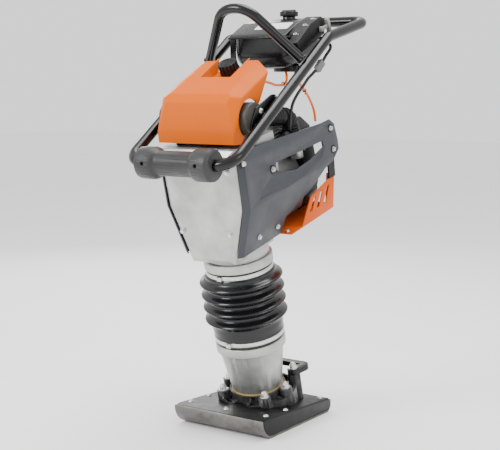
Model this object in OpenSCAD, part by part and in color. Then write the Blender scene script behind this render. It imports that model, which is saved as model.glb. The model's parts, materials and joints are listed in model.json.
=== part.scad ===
// Jumping jack rammer: an upright engine-driven soil rammer on one sprung foot.
// Millimetres. +Z is up, -Y is the front (roller), +Y is the rear (operator's bar),
// +X is the machine's left. The origin is the centre of the shoe's flat sole.
// The leg leans forward; lean() places parts in the leg's own frame, where z runs up
// the leg's axis and y is the distance behind it.

/* [Shoe] */
// Width of the ramming shoe
shoe_w = 280; // [220:5:330]
// Thickness of the steel sole
sole_t = 6; // [4:1:8]
// Front end of the flat of the sole
sole_front = -118; // [-130:1:-110]
// Rear end of the flat of the sole
sole_rear = 150; // [140:1:160]
// Radius of the turned-up toe
toe_r = 53; // [50:1:56]
// Radius of the turned-up heel
heel_r = 21; // [18:1:24]

/* [Leg] */
// Forward lean of the leg in degrees
leg_tilt = 14.3; // [12:0.1:16]
// Where the leg's axis meets the ground, behind the origin
leg_y = 38.4; // [30:0.1:45]
// Radius of the leg at its foot
leg_r_low = 68; // [66:1:70]
// Radius of the leg under its top flange
leg_r_high = 86; // [84:1:88]
// Outer radius of the bellows' rings
bellows_r = 110.5; // [105:0.5:114]
// Number of rings on the bellows
bellows_rings = 4; // [3:1:4]

/* [Handle] */
// Half the distance between the handle's side tubes
handle_x = 158; // [150:1:164]
// Outside diameter of the handle tube
tube_d = 28; // [25:1:30]
// Outside diameter of the lifting arch's tube
arch_d = 26; // [22:1:28]
// Radius of the handle's bends
bend_r = 46; // [40:1:50]
// Greatest radius of the front roller
roller_r = 40; // [36:1:42]

/* [Drive] */
// Teeth on the crank gear
gear_teeth = 52; // [52:4:52]
// Teeth on the clutch pinion
pinion_teeth = 16; // [16:4:16]
// Module of the two gears
gear_module = 2; // [2:1:2]
// Throw of the crank pin
crank_throw = 16; // [12:1:16]
// Radial clearance of the running shafts
run_gap = 0.05; // [0.02:0.01:0.1]

/* [Hidden] */
$fn = 48;

gap = 0.3;
casting = [0.78, 0.78, 0.77];
black_paint = [0.07, 0.07, 0.08];
black_plastic = [0.13, 0.13, 0.14];
panel_grey = [0.30, 0.32, 0.35];
orange = [0.93, 0.42, 0.12];
steel = [0.62, 0.62, 0.63];

block_slope = -0.0514;
block_z = 47.6;
flange_r = 104;
flange_u = 72;
nut_u = 98;
leg_u = 94.5;
leg_top_u = 238;
bore_r = 60;
sleeve_r = 72;
sleeve_top = 372;
piston_u = 230;
guide_in = sleeve_r + gap;
guide_out = 80;
case_u = 474;
case_top = 787;
case_front = -92;
case_rear = 75;
crank_u = 665;
rod_length = 115;
wrist_u = crank_u + crank_throw - rod_length;
pinion_u = crank_u - gear_module * (gear_teeth + pinion_teeth) / 2;
panel_x = 130;
panel_t = 4;
fold_u = 634;
panel_low_u = 507;
panel_low_x = 88;
buffer_v = -24;
buffer_u = 845;
buffer_r = 40;
tube_r = tube_d / 2;
tube_wall = 2.6;
roller_y = -325.7;
roller_z = 705.9;
bar_y = 320;
bar_z = 1070;
handle_corner = [109, 1019];
arch_bend = 68;
foot_studs = [[-67, -67, 0], [67, -67, 0], [-92, -2, 0], [92, -2, 0], [-73, 73, 3], [73, 73, 3]];
panel_screw_at = [[-95, 753], [25, 701], [320, 723], [323, 664], [55, 536], [-33, 540]];

// ---- placing and sweeping helpers ------------------------------------------------

// the leg's own frame
module lean() translate([0, leg_y, 0]) rotate([leg_tilt, 0, 0]) children();

// an outline of (y, z) points, drawn out along x from x0 to x1
module side_prism(x0, x1, pts)
  translate([x0, 0, 0]) rotate([90, 0, 90]) linear_extrude(x1 - x0) polygon(pts);

// an outline of (x, z) points, drawn out along y from y0 to y1
module front_prism(y0, y1, pts)
  translate([0, y1, 0]) rotate([90, 0, 0]) linear_extrude(y1 - y0) polygon(pts);

// a ring about the z axis between two heights
module ring(r_out, r_in, z0, z1)
  translate([0, 0, z0]) difference() {
    cylinder(r = r_out, h = z1 - z0);
    translate([0, 0, -1]) cylinder(r = r_in, h = z1 - z0 + 2);
  }

// a shaft along the y axis at height z
module shaft(r, y0, y1, z, x = 0)
  translate([x, y0, z]) rotate([-90, 0, 0]) cylinder(r = r, h = y1 - y0);

// a pin along the x axis
module cross_pin(r, x0, x1, y, z)
  translate([x0, y, z]) rotate([0, 90, 0]) cylinder(r = r, h = x1 - x0);

function unit(v) = v / norm(v);
function mix(a, b, t) = a * (1 - t) + b * t;

// a tube through corner points, every corner bent to the radius given
module bent_tube(pts, r, bend, closed = false) {
  n = len(pts);
  last = closed ? n - 1 : n - 2;
  for (i = [0:last]) {
    a = pts[i];
    b = pts[(i + 1) % n];
    d = unit(b - a);
    start = (closed || i > 0) ? bend_tangent(pts[(i + n - 1) % n], a, b, bend) : 0;
    stop = (closed || i < n - 2) ? bend_tangent(a, b, pts[(i + 2) % n], bend) : 0;
    lap_in = start > 0 ? joint_lap : 0;
    lap_out = stop > 0 ? joint_lap : 0;
    along(a + d * (start - lap_in), d)
      cylinder(r = r, h = norm(b - a) - start - stop + lap_in + lap_out);
    if (closed || i < n - 2) elbow(a, b, pts[(i + 2) % n], r + joint_swell, bend);
  }
}
// straight lengths reach a little into the bends, which are a hair fatter
joint_lap = 1;
joint_swell = 0.08;
function turn_angle(a, b, c) = acos(unit(b - a) * unit(c - b));
function bend_tangent(a, b, c, bend) = bend * tan(turn_angle(a, b, c) / 2);
module along(p, d) {
  side = unit(cross(abs(d[0]) < 0.9 ? [1, 0, 0] : [0, 1, 0], d));
  up = cross(d, side);
  multmatrix([[side[0], up[0], d[0], p[0]], [side[1], up[1], d[1], p[1]],
    [side[2], up[2], d[2], p[2]], [0, 0, 0, 1]]) children();
}
module elbow(a, b, c, r, bend) {
  d1 = unit(b - a);
  d2 = unit(c - b);
  axis = unit(cross(d1, d2));
  tangent = bend_tangent(a, b, c, bend);
  out = cross(d1, axis);
  centre = b - d1 * tangent - out * bend;
  multmatrix([[out[0], d1[0], axis[0], centre[0]], [out[1], d1[1], axis[1], centre[1]],
    [out[2], d1[2], axis[2], centre[2]], [0, 0, 0, 1]])
    rotate_extrude(angle = turn_angle(a, b, c)) translate([bend, 0]) circle(r = r);
}

// a smooth curve through hand-set points, n steps to each span
function spline_at(p, i, t) = let (
    a = p[max(i - 1, 0)], b = p[i], c = p[i + 1], d = p[min(i + 2, len(p) - 1)])
  0.5 * (2 * b + (c - a) * t + (2 * a - 5 * b + 4 * c - d) * t * t
    + (3 * b - a - 3 * c + d) * t * t * t);
function spline(p, n) = [
  for (i = [0:len(p) - 2]) for (k = [0:n - 1]) spline_at(p, i, k / n), p[len(p) - 1]];

// a round cord swept along a path, its rings squared to the path
module sweep(path, r, sides, ref) {
  n = len(path);
  points = [for (i = [0:n - 1]) let (
      d = unit(path[min(i + 1, n - 1)] - path[max(i - 1, 0)]),
      s = unit(cross(ref, d)), t = cross(d, s))
    for (k = [0:sides - 1]) path[i] + r * (s * cos(k * 360 / sides) + t * sin(k * 360 / sides))];
  faces = concat(
    [[for (k = [sides - 1:-1:0]) k]],
    [for (i = [0:n - 2]) for (k = [0:sides - 1]) let (k2 = (k + 1) % sides)
      [i * sides + k, i * sides + k2, (i + 1) * sides + k2, (i + 1) * sides + k]],
    [[for (k = [0:sides - 1]) (n - 1) * sides + k]]);
  polyhedron(points, [for (f = faces) [for (j = [len(f) - 1:-1:0]) f[j]]]);
}

// a hexagon-headed bolt with its washer, standing on z = 0
module hex_bolt(r, head = 6) {
  cylinder(r = r * 2.1, h = 1.6);
  translate([0, 0, 1.6]) cylinder(r = r * 1.75, h = head, $fn = 6);
}

// a domed nut on a washer, standing on z = 0
module dome_nut(r) {
  cylinder(r = r * 1.5, h = 2);
  translate([0, 0, 2]) cylinder(r = r * 1.2, h = 8, $fn = 6);
  translate([0, 0, 10]) intersection() {
    sphere(r = r * 0.95);
    cylinder(r = r, h = r);
  }
}

// ---- shoe and foot ---------------------------------------------------------------

// the sole's outline, moved inwards by t
function arc(cy, cz, r, a0, a1, n) = [for (k = [0:n]) let (a = a0 + (a1 - a0) * k / n)
  [cy + r * cos(a), cz + r * sin(a)]];
function sole_line(t) = concat(
  arc(sole_front, toe_r, toe_r - t, 180, 270, 10),
  arc(sole_rear, heel_r, heel_r - t, 270, 360, 6));
function block_top(y) = block_z + block_slope * y;

function reverse(list) = [for (i = [len(list) - 1:-1:0]) list[i]];

module sole_plate() color(steel) {
  rear = sole_rear + heel_r;
  side_prism(-shoe_w / 2, shoe_w / 2, concat(
    sole_line(0), [[rear, 33], [rear - sole_t, 33]], reverse(sole_line(sole_t))));
}

module shoe_block() color(black_plastic) {
  front = sole_front - toe_r + sole_t;
  rear = sole_rear + heel_r - sole_t;
  side_prism(-shoe_w / 2, shoe_w / 2, concat(
    sole_line(sole_t + 0.2), [[rear - 0.2, block_top(rear) - 6], [rear - 6, block_top(rear - 6)],
      [front + 12, block_top(front + 12)], [front + 4, block_top(front) - 3]]));
}

module shoe_screws() color(steel)
  for (p = [[-120, -124], [0, -130], [120, -124], [-124, -38], [124, -38], [122, 140], [-122, 140]])
    translate([p[0], p[1], block_top(p[1]) + 0.6]) intersection() {
      translate([0, 0, -3]) sphere(r = 8);
      cylinder(r = 9, h = 6);
    }

module foot_casting() color(black_paint) difference() {
  lean() {
    cylinder(r = flange_r, h = flange_u - 2);
    ring(flange_r, flange_r - 8, flange_u - 10, flange_u + 6);
    ring(76, 40, flange_u - 10, 93);
    for (s = foot_studs) translate([s[0], s[1], 20]) cylinder(r = 17, h = nut_u + s[2] - 20);
    for (a = [0:30:330]) rotate([0, 0, a + 15]) translate([70, -4, 20])
      cube([flange_r - 76, 8, flange_u - 14]);
  }
  side_prism(-200, 200, [[-220, -60], [220, -60], [220, block_top(220) + 0.2],
    [-220, block_top(-220) + 0.2]]);
}

module foot_nuts() color(steel) lean()
  for (s = foot_studs) translate([s[0], s[1], nut_u + s[2] + (s[2] > 0 ? 15 : 0)]) dome_nut(8.5);

module tie_loop() color(black_paint) lean() translate([0, 0, nut_u + 3.2]) difference() {
  linear_extrude(14.6) union() {
    for (sx = [-1, 1]) hull() {
      translate([sx * 73, 73]) circle(r = 17);
      translate([sx * 83, 102]) circle(r = 17);
    }
    hull() for (sx = [-1, 1]) translate([sx * 83, 102]) circle(r = 17);
  }
  translate([0, 0, -1]) linear_extrude(17)
    polygon([[-54, 50], [54, 50], [64, 88], [78, 103], [-78, 103], [-64, 88]]);
}

// ---- leg: spring cylinder, springs, bellows --------------------------------------

module leg_gasket() color([0.80, 0.66, 0.30]) lean() ring(70, 50, 93, leg_u);

module spring_cylinder() color(casting) lean() {
  rotate_extrude() polygon([[0, leg_u], [leg_r_low, leg_u], [leg_r_high, 210],
    [leg_r_high + 7.6, 214], [leg_r_high + 7.6, leg_top_u - 2], [leg_r_high + 5.6, leg_top_u],
    [bore_r, leg_top_u], [bore_r, 103], [0, 103]]);
  side_prism(-1.5, 1.5, [[-leg_r_low - 1.5, leg_u + 2], [-leg_r_high - 1.5, 208],
    [-leg_r_high + 3, 208], [-leg_r_low + 3, leg_u + 2]]);
}

module inner_sleeve() color(steel) lean() {
  ring(sleeve_r, bore_r, leg_top_u, sleeve_top);
  ring(bore_r + 1, 16 + gap, 352, 364);
}

module coil(z0, z1, turns, r, wire) {
  path = [for (k = [0:turns * 12]) let (t = k / (turns * 12))
    [r * cos(k * 30), r * sin(k * 30), z0 + wire + (z1 - z0 - 2 * wire) * t]];
  sweep(path, wire, 6, [0, 0, 1]);
}
module lower_spring() color([0.25, 0.30, 0.42]) lean() coil(103.6, piston_u - 6.6, 6, 48, 5.5);
module upper_spring() color([0.25, 0.30, 0.42]) lean() coil(piston_u + 6.6, 351.4, 6, 48, 5.5);

module lower_clamp() color(steel) lean() {
  ring(94, 92.2, 246, 257);
  translate([-7, -101, 246]) cube([14, 8, 11]);
}
module upper_clamp() color(steel) lean() {
  ring(88.8, 87, 432, 443);
  translate([-7, -95, 432]) cube([14, 7, 11]);
}

// the bellows' outline: necks at both ends and rings between
ring_z0 = 306;
ring_pitch = 34;
function bellows_wave(t) = [for (k = [0:bellows_rings * 12])
  let (a = k * 30 - 180, z = ring_z0 - ring_pitch / 2 + ring_pitch * k / 12)
  [bellows_r - 9 + 9 * cos(a) - t, z]];
function bellows_side(t) = concat([[92 - t, 240], [92 - t, 262], [95 - t, 276]],
  bellows_wave(t), [[93 - t, 428], [87 - t, 432], [87 - t, 446]]);
module bellows() color(black_plastic) lean()
  rotate_extrude() polygon(concat(bellows_side(0), reverse(bellows_side(3.6))));

module piston_rod() color(steel) lean() {
  translate([0, 0, piston_u - 6]) cylinder(r = bore_r - gap, h = 12);
  translate([0, 0, piston_u]) cylinder(r = 16, h = 455 - piston_u);
}

module crosshead() color(steel) lean() difference() {
  union() {
    translate([0, 0, 455]) cylinder(r = 45, h = 35);
    for (s = [-1, 1]) translate([-20, s * 25 - 7, 489]) cube([40, 14, wrist_u - 489]);
    shaft(20, -32, -18, wrist_u);
    shaft(20, 18, 32, wrist_u);
  }
  shaft(11, -40, 40, wrist_u);
}

// ---- crankcase -------------------------------------------------------------------

function case_line(t) = [[-66 + t, 486 + t], [66 - t, 486 + t], [73 - t, 509],
  [112 - t, fold_u], [115 - t, 749], [112 - t, case_top - t], [-112 + t, case_top - t],
  [-115 + t, 749], [-112 + t, fold_u], [-73 + t, 509]];

module crankcase() color(casting) lean() difference() {
  union() {
    front_prism(case_front, case_rear, case_line(0));
    translate([0, 0, case_u]) cylinder(r = 84, h = 30);
    front_prism(case_rear - 1, case_rear + 14, [[-60, 545], [60, 545], [60, 655], [-60, 655]]);
  }
  difference() {
    front_prism(case_front - 1, case_rear - 8, case_line(8));
    translate([0, 0, 480]) cylinder(r = 56, h = 50);
  }
  translate([0, 0, case_u - 1]) cylinder(r = 45 + run_gap, h = 80);
  shaft(11, 60, 95, crank_u);
  shaft(9 + run_gap, 60, 95, pinion_u);
}

module front_cover() color(casting) lean() difference() {
  hull() {
    front_prism(case_front - 9, case_front - gap, case_line(0));
    front_prism(case_front - 20, case_front - 9, case_line(15));
  }
  hull() {
    front_prism(case_front - 4, case_front, case_line(9));
    front_prism(case_front - 12, case_front - 4, case_line(24));
  }
}

module cover_screws() color(steel) lean()
  for (sx = [-1, 1]) for (p = [[74, 573], [92, 735]])
    translate([sx * p[0], case_front - 20.3, p[1]]) rotate([90, 0, 0]) hex_bolt(3.6, 5);

module neck_ring() color(casting) lean() ring(91, guide_out + 0.2, 448, 472);

module guide_tube() color(steel) lean() ring(guide_out, guide_in, 300, 474);

// ---- side panels -----------------------------------------------------------------

panel_line = [[-92, 752], [-60, 781], [-20, 778], [279, 748], [322, 747], [343, 730],
  [353, 681], [353, 657], [318, 634], [277, 624], [210, 583], [160, 571], [95, 549],
  [80, panel_low_u], [-95, panel_low_u], [-92, fold_u]];
slot_line = [[44, 712], [272, 701], [274, 684], [204, 670], [136, 666], [70, 679], [44, 693]];

module panel(s) color(panel_grey) lean() mirror([s < 0 ? 1 : 0, 0, 0]) {
  difference() {
    intersection() {
      side_prism(60, 140, panel_line);
      front_prism(-120, 360, [[panel_x - panel_t, 800], [panel_x - panel_t, fold_u],
        [panel_low_x - panel_t, 500], [panel_low_x, 500], [panel_x, fold_u], [panel_x, 800]]);
    }
    side_prism(60, 140, slot_line);
  }
  hull() for (z = [fold_u, 750]) {
    translate([116, -104, z]) cube([3, 3, 0.5]);
    translate([panel_x - 3.4, -92.5, z]) cube([3, 1, 0.5]);
  }
  hull() {
    translate([116, -104, fold_u]) cube([3, 3, 0.5]);
    translate([panel_x - 3.4, -92.5, fold_u]) cube([3, 1, 0.5]);
    translate([76, -104, panel_low_u]) cube([3, 3, 0.5]);
    translate([panel_low_x - 1.4, -95.5, panel_low_u]) cube([3, 1, 0.5]);
  }
}
module left_panel() panel(1);
module right_panel() panel(-1);

function panel_x_at(u) = u >= fold_u ? panel_x
  : panel_x - (fold_u - u) * (panel_x - panel_low_x) / (fold_u - 500);
fold_angle = atan((panel_x - panel_low_x) / (fold_u - 500));
module panel_screws() color(steel) lean()
  for (s = [0, 1]) mirror([s, 0, 0]) for (p = panel_screw_at)
    translate([panel_x_at(p[1]) + 0.4, p[0], p[1]])
      rotate([0, p[1] < fold_u ? 90 + fold_angle : 90, 0]) hex_bolt(3.4, 4);

// ---- engine ----------------------------------------------------------------------

module engine_block() color([0.35, 0.35, 0.36]) lean() difference() {
  front_prism(112, 222, [[-70, 530], [70, 530], [84, 560], [84, 640], [60, 690], [-60, 690],
    [-84, 640], [-84, 560]]);
  front_prism(122, 212, [[-62, 542], [62, 542], [72, 565], [72, 635], [52, 680], [-52, 680],
    [-72, 635], [-72, 565]]);
  shaft(11 + run_gap, 100, 230, pinion_u);
}

module cylinder_fins() color(casting) lean() {
  translate([-38, 130, 690.2]) cube([76, 70, 66]);
  for (k = [0:6]) translate([-58, 118, 696 + 9 * k]) cube([116, 94, 3]);
}

module valve_cover() color(casting) lean() {
  translate([-52, 118, 756.4]) cube([104, 92, 18]);
  translate([-40, 128, 774.4]) cube([80, 70, 8]);
}

module spark_plug() color(black_plastic) lean() translate([62, 165, 730]) rotate([0, 60, 0]) {
  cylinder(r = 7, h = 14);
  translate([0, 0, 14]) cylinder(r = 10, h = 26);
}

module fan_shroud() color(black_plastic) lean() difference() {
  front_prism(226, 290, [[-86, 560], [-60, 520], [60, 520], [86, 560], [92, 660], [86, 740],
    [60, 764], [-60, 764], [-86, 740], [-92, 660]]);
  shaft(78, 225, 282, pinion_u);
  front_prism(225, 282, [[-54, 640], [54, 640], [54, 756], [-54, 756]]);
  shaft(40, 280, 292, pinion_u);
}

module recoil_cover() color([0.20, 0.20, 0.21]) lean() difference() {
  union() {
    shaft(80, 290.2, 312, pinion_u);
    shaft(60, 312, 322, pinion_u);
  }
  shaft(70, 290, 308, pinion_u);
  for (a = [0:45:315]) translate([0, 300, pinion_u]) rotate([0, a, 0]) translate([64, 0, -5])
    cube([6, 40, 10]);
  translate([0, 295, pinion_u + 20]) rotate([-90, 0, 0]) cylinder(r = 5, h = 40);
}

module starter_grip() color(black_plastic) lean() {
  shaft(3, 272, 326, pinion_u + 20);
  translate([-27, 324, pinion_u + 11]) cube([54, 16, 18]);
}

module carburettor() color([0.58, 0.58, 0.57]) lean() difference() {
  union() {
    translate([60, 222.4, 690]) cube([44, 3.4, 44]);
    translate([60, 182, 700]) cube([44, 40.6, 26]);
    translate([90, 202, 676]) cylinder(r = 17, h = 24.2);
    translate([82, 202, 725]) cylinder(r = 18, h = 20);
  }
  translate([82, 202, 690]) cylinder(r = 9, h = 60);
}

module choke_lever() color(black_plastic) lean() {
  translate([104.3, 208, 712]) rotate([0, 90, 0]) cylinder(r = 7, h = 4);
  translate([105, 204, 712]) cube([3, 8, 30]);
}

// ribbed rubber elbow from the air filter back and down to the carburettor
intake_line = [[60, 60, 812], [60, 100, 812], [82, 202, 790], [82, 202, 742]];
module intake_elbow() color(black_plastic) lean() difference() {
  bent_tube(intake_line, 22, 34);
  bent_tube(concat([[60, 58, 812]], [for (k = [1:2]) intake_line[k]], [[82, 202, 740]]), 18.5, 34);
}

module muffler() color([0.22, 0.21, 0.20]) lean() {
  front_prism(128, 212, [[-118, 650], [-90, 642], [-90, 742], [-112, 742], [-120, 730]]);
  translate([-90, 158, 690]) cube([32, 24, 24]);
  shaft(9, 212, 232, 662, -106);
}

guard_x = 120;
guard_t = 3;
module engine_guard() color(orange) lean() {
  floor_u = 506;
  translate([-guard_x, 85, floor_u - guard_t]) cube([2 * guard_x, 220, guard_t]);
  for (s = [0, 1]) mirror([s, 0, 0]) difference() {
    union() {
      side_prism(guard_x - guard_t, guard_x, [[140, floor_u], [198, 568], [330, 593],
        [305, floor_u]]);
      side_prism(guard_x - 24, guard_x, [[302, floor_u], [305, floor_u], [330, 593], [327, 593]]);
    }
    for (k = [0:2]) side_prism(guard_x - 10, guard_x + 1, [[182 + 36 * k, 530 - k],
      [197 + 36 * k, 530 - k], [225 + 37 * k, 563 + 5 * k], [213 + 37 * k, 560 + 5 * k]]);
  }
  translate([-guard_x, 302, floor_u - guard_t]) cube([2 * guard_x, 3, 13]);
}

module guard_bolts() color(steel) lean() for (s = [0, 1]) mirror([s, 0, 0]) {
  for (p = [[325, 574], [319.6, 555]]) translate([108, p[0], p[1]]) rotate([-106, 0, 0])
    hex_bolt(3.4, 5);
  translate([100, 96, 506.3]) hex_bolt(3.4, 5);
  // strap from the guard's rear corner up to the panel
  side_prism(121, 124.2, [[296, 588], [326, 588], [334, 668], [300, 668]]);
}

// ---- drive train -----------------------------------------------------------------

function polar(r, a) = [r * cos(a), r * sin(a)];
function gear_line(n, shift) = let (rp = gear_module * n / 2, root = rp - 1.25 * gear_module,
    tip = rp + gear_module * 0.9, w = PI * gear_module / 4 * 0.8)
  [for (i = [0:n - 1]) let (a = (i + shift) * 360 / n) each [
    polar(root, a - asin((w + 0.9) / root)), polar(tip, a - asin((w - 0.75) / tip)),
    polar(tip, a + asin((w - 0.75) / tip)), polar(root, a + asin((w + 0.9) / root))]];

module crank_gear() color(steel) lean() {
  translate([0, 60, crank_u]) rotate([90, 0, 0]) linear_extrude(18)
    polygon(gear_line(gear_teeth, 0));
  shaft(11 - run_gap, 60, 88, crank_u);
  shaft(12, -12, 42, crank_u + crank_throw);
}

module con_rod() color([0.5, 0.5, 0.5]) lean() difference() {
  union() {
    shaft(24, -11, 11, crank_u + crank_throw);
    shaft(17, -11, 11, wrist_u);
    translate([-9, -11, wrist_u]) cube([18, 22, rod_length]);
  }
  shaft(12 + run_gap, -20, 20, crank_u + crank_throw);
  shaft(8, -20, 20, wrist_u);
}

module wrist_pin() color(steel) lean() shaft(8, -17.5, 17.5, wrist_u);

module pinion_shaft() color(steel) lean() {
  translate([0, 60, pinion_u]) rotate([90, 0, 0]) linear_extrude(18)
    polygon(gear_line(pinion_teeth, 0.5));
  shaft(9, 60, 93, pinion_u);
}

module clutch_drum() color(steel) lean() difference() {
  shaft(47, 93, 111, pinion_u);
  shaft(44, 96, 112, pinion_u);
}

module crankshaft() color(steel) lean() {
  shaft(11, 98, 300, pinion_u);
  shaft(32, 150, 184, pinion_u);
  shaft(41, 99, 109, pinion_u);
}

module flywheel() color(casting) lean() difference() {
  union() {
    shaft(72, 238, 248, pinion_u);
    for (a = [0:30:330]) translate([0, 248, pinion_u]) rotate([0, a, 0]) translate([44, 0, -1.5])
      cube([26, 20, 3]);
  }
  shaft(11.02, 230, 260, pinion_u);
}

// ---- air filter ------------------------------------------------------------------

// the cover's sloping top: y runs up the slope and z stands square to it
slope_y = -255;
slope_z = 866;
top_slope = 30.4;
knob_y = 156;
module slope_frame() translate([0, slope_y, slope_z]) rotate([top_slope, 0, 0]) children();

module filter_base() color(black_plastic) {
  lean() difference() {
    union() {
      front_prism(-66, 58, [[-88, case_top + 0.4], [88, case_top + 0.4], [92, 864], [-92, 864]]);
      shaft(18.2, 57, 74, 812, 60);
    }
    front_prism(-58, 50, [[-80, 800], [80, 800], [84, 866], [-84, 866]]);
    shaft(15, 40, 80, 812, 60);
  }
  // arm that carries the cover's stud
  slope_frame() translate([-9, 110, -84]) cube([18, 60, 7]);
}

module filter_element() color([0.85, 0.80, 0.62]) lean()
  translate([0, -4, 801]) difference() {
    cylinder(r = 48, h = 80);
    translate([0, 0, 8]) cylinder(r = 26, h = 90);
  }

module filter_stud() color(steel) slope_frame() translate([0, knob_y, -76.8]) {
  cylinder(r = 4, h = 78);
  cylinder(r = 9, h = 4);
}

cover_line = [[-256, 750], [-261, 783], [-255, 866], [-93, 961], [-120, 924], [-118, 895],
  [-149, 857], [-190, 770], [-200, 757]];
function cover_front(t) = concat([for (k = [0:2]) cover_line[k] + [t, 0]],
  [cover_line[3] + [t, -t * 0.56]], [for (k = [4:8]) cover_line[k]]);
// slice across the slope: flat top, bevels and side walls
function cover_slice(top, t) = [[-top + t, -t], [-121 + t, -15 - t / 2], [-115 + t, -120],
  [-108 + t, -190], [108 - t, -190], [115 - t, -120], [121 - t, -15 - t / 2], [top - t, -t]];
// its front corners are cut off on a slant
module cover_solid(t) difference() {
  intersection() {
    side_prism(-130, 130, cover_front(t));
    slope_frame() hull() {
      front_prism(-90, -89, cover_slice(100, t));
      front_prism(240, 241, cover_slice(61, t));
    }
  }
  for (s = [0, 1]) mirror([s, 0, 0]) along([89, -255, 866], unit([0.597, -0.771, 0.221]))
    translate([-150, -150, -t]) cube(300);
}
module knob_well(t) slope_frame() front_prism(94 - t, 260, [[-38 - t, -22 - t], [38 + t, -22 - t],
  [46 + t, 0], [46 + t, 60], [-46 - t, 60], [-46 - t, 0]]);
module filter_cover() color(orange) difference() {
  cover_solid(0);
  difference() {
    cover_solid(4);
    knob_well(4);
  }
  lean() cross_pin(48, -140, 140, buffer_v, buffer_u);
  lean() side_prism(-140, 140, [[buffer_v - 20, 690], [buffer_v - 20, buffer_u - 44],
    [buffer_v, buffer_u - 40], [140, buffer_u - 10], [140, 690]]);
  knob_well(0);
  slope_frame() translate([0, knob_y, -60]) cylinder(r = 6.5, h = 80);
}

module filter_knob() color(black_plastic) slope_frame() translate([0, knob_y, -21.6]) difference() {
  union() {
    cylinder(r = 23, h = 30);
    for (a = [0:30:330]) rotate([0, 0, a]) translate([22.5, 0, 0]) cylinder(r = 3, h = 26);
  }
  translate([0, 0, -1]) cylinder(r = 4 + run_gap, h = 26);
}

// ---- rubber-mounted handle -------------------------------------------------------

module rubber_buffers() color([0.10, 0.09, 0.08]) lean() for (s = [0, 1]) mirror([s, 0, 0]) {
  cross_pin(buffer_r, 104, plate_x - gap, buffer_v, buffer_u);
  // steel arm from the crankcase's top corner to the buffer
  side_prism(93, 103.8, [[-50, case_top + 0.6], [18, case_top + 0.6],
    [buffer_v + 34, buffer_u + 20], [buffer_v - 10, buffer_u + 38], [buffer_v - 36, buffer_u]]);
}

// one closed loop of tube: front cross tube, side tubes and the operator's bar
handle_side = [[roller_y, roller_z], handle_corner, [bar_y, bar_z]];
handle_loop = concat([for (p = handle_side) [handle_x, p[0], p[1]]],
  [for (p = reverse(handle_side)) [-handle_x, p[0], p[1]]]);
module handle_frame() color(black_paint) difference() {
  bent_tube(handle_loop, tube_r, bend_r, closed = true);
  bent_tube(handle_loop, tube_r - tube_wall, bend_r, closed = true);
  // drain hole
  translate([0, bar_y, bar_z - tube_r - 1]) cylinder(r = 2.5, h = tube_r);
}

// bar bent over the engine, welded to the insides of the side tubes
arch_half = [[153, 6, 950], [39.4, -93.9, 1086]];
arch_line = concat(arch_half, [for (p = reverse(arch_half)) [-p[0], p[1], p[2]]]);
module lifting_arch() color(black_paint) difference() {
  bent_tube(arch_line, arch_d / 2, arch_bend);
  bent_tube(arch_line, arch_d / 2 - tube_wall, arch_bend);
  for (s = [0, 1]) mirror([s, 0, 0]) along([handle_x, roller_y, roller_z],
    unit([0, handle_corner[0] - roller_y, handle_corner[1] - roller_z]))
    cylinder(r = tube_r + 0.2, h = 500);
}

// plates inboard of the side tubes, each with a weld bar against its tube
plate_x = 134;
plate_line = [[-50, 821], [-48, 837], [-20, 871], [53, 885], [69, 882], [86, 866], [60, 838],
  [0, 816], [-42, 806]];
module mount_plates() color(black_paint) lean() for (s = [0, 1]) mirror([s, 0, 0]) {
  side_prism(plate_x, plate_x + 4, plate_line);
  side_prism(plate_x + 3, handle_x - tube_r - 0.1, [[-8, 838], [72, 869], [76, 861], [-6, 830]]);
}

module mount_bolts() color(steel) lean() for (s = [0, 1]) mirror([s, 0, 0])
  for (p = [[-3, 858], [-30, 826]]) translate([plate_x + 4.3, p[0], p[1]]) rotate([0, 90, 0])
    hex_bolt(3.8, 3.6);

module roller() color([0.20, 0.20, 0.21]) translate([0, roller_y, roller_z]) rotate([0, 90, 0])
  difference() {
    rotate_extrude() polygon([[tube_r + gap, -111.6], [roller_r - 7, -111.6],
      [roller_r - 1, -106], [roller_r, -98], [roller_r, -66], [roller_r - 3, -58],
      [31, -50], [31, 50], [roller_r - 3, 58], [roller_r, 66], [roller_r, 98],
      [roller_r - 1, 106], [roller_r - 7, 111.6], [tube_r + gap, 111.6]]);
    for (z = [-80, 80]) for (a = [0, 90]) translate([0, 0, z]) rotate([0, 90, a])
      translate([0, 0, -60]) cylinder(r = 5, h = 120);
  }

// fuel tank of two pressed halves between the handle's tubes
tank_x = 96;
cap_y = 166;
belly_r = 48;
function round_corner(at, r, from) = [for (k = [0:6]) at + r * [cos(from + 15 * k), sin(from + 15 * k)]];
module tank_body(t) intersection() {
  side_prism(-tank_x + t, tank_x - t, concat([[20 + t, 1019]],
    round_corner([20 + belly_r, 950 + belly_r], belly_r - t, 180),
    [[84, 950 + t], [176 - t / 2, 990 + t], [201 - t, 1034], [196 - t, 1066 - t],
    [144, 1072 - t], [88, 1060 - t], [40 + t / 2, 1034 - t]]));
  front_prism(0, 220, concat([[t - tank_x, 1060 - t]],
    round_corner([belly_r - tank_x, 949 + belly_r], belly_r - t, 180),
    round_corner([tank_x - belly_r, 949 + belly_r], belly_r - t, 270),
    [[tank_x - t, 1020 - t], [housing_x - 2 - t, 1021], [housing_x - 2 - t, 1060 - t],
    [tank_x - 32 - t / 2, 1080 - t], [16 + t / 2 - tank_x, 1080 - t]]));
}
module fuel_tank() color(black_paint) difference() {
  union() {
    tank_body(0);
    translate([40, 84, 938]) cylinder(r = 22, h = 22);
    translate([0, cap_y, 1058]) cylinder(r = 18, h = 22);
    translate([-tank_x - 2, 16, 1015]) cube([2 * tank_x + 4, 183, 5]);
  }
  tank_body(4);
  translate([0, cap_y, 1040]) cylinder(r = 14, h = 50);
}
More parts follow.
